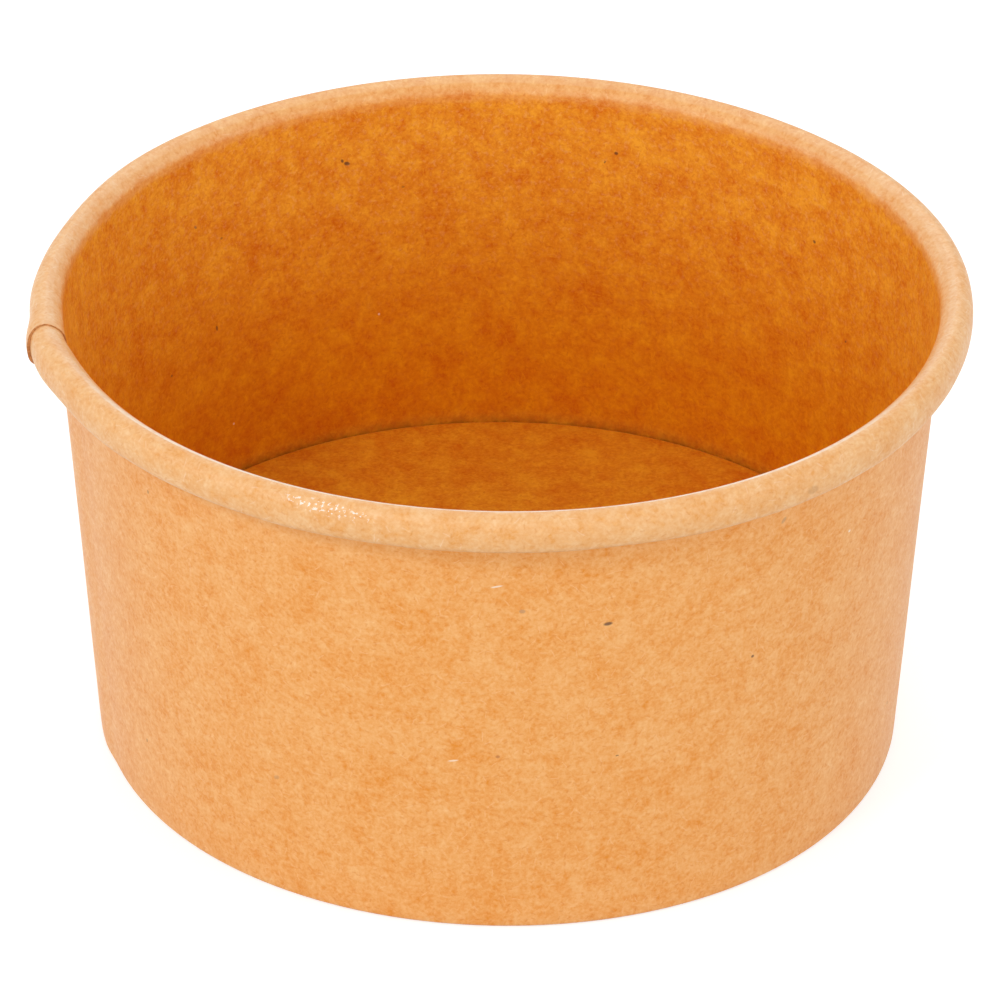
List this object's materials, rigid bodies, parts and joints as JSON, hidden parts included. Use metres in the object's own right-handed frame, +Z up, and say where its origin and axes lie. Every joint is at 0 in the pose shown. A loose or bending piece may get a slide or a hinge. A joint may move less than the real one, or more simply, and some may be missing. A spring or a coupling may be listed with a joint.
{
  "type": "paper ice cream tub",
  "caption": "Open round paper tub with a leaning wall, a rolled rim, a lapped side seam and a flat floor held in a folded foot.",
  "frame": {"origin": "on the tub's axis, level with the bottom of the foot", "axes": "+Z up the tub's axis towards the open rim; the side seam is on the -X side"},
  "size_m": [0.096, 0.096, 0.051],
  "materials": {
    "wall_board": "satin coated kraft board",
    "base_board": "satin coated kraft board"
  },
  "bodies": {
    "root": {"side_wall": "wall_board", "base_disc": "base_board"}
  },
  "joints": []
}
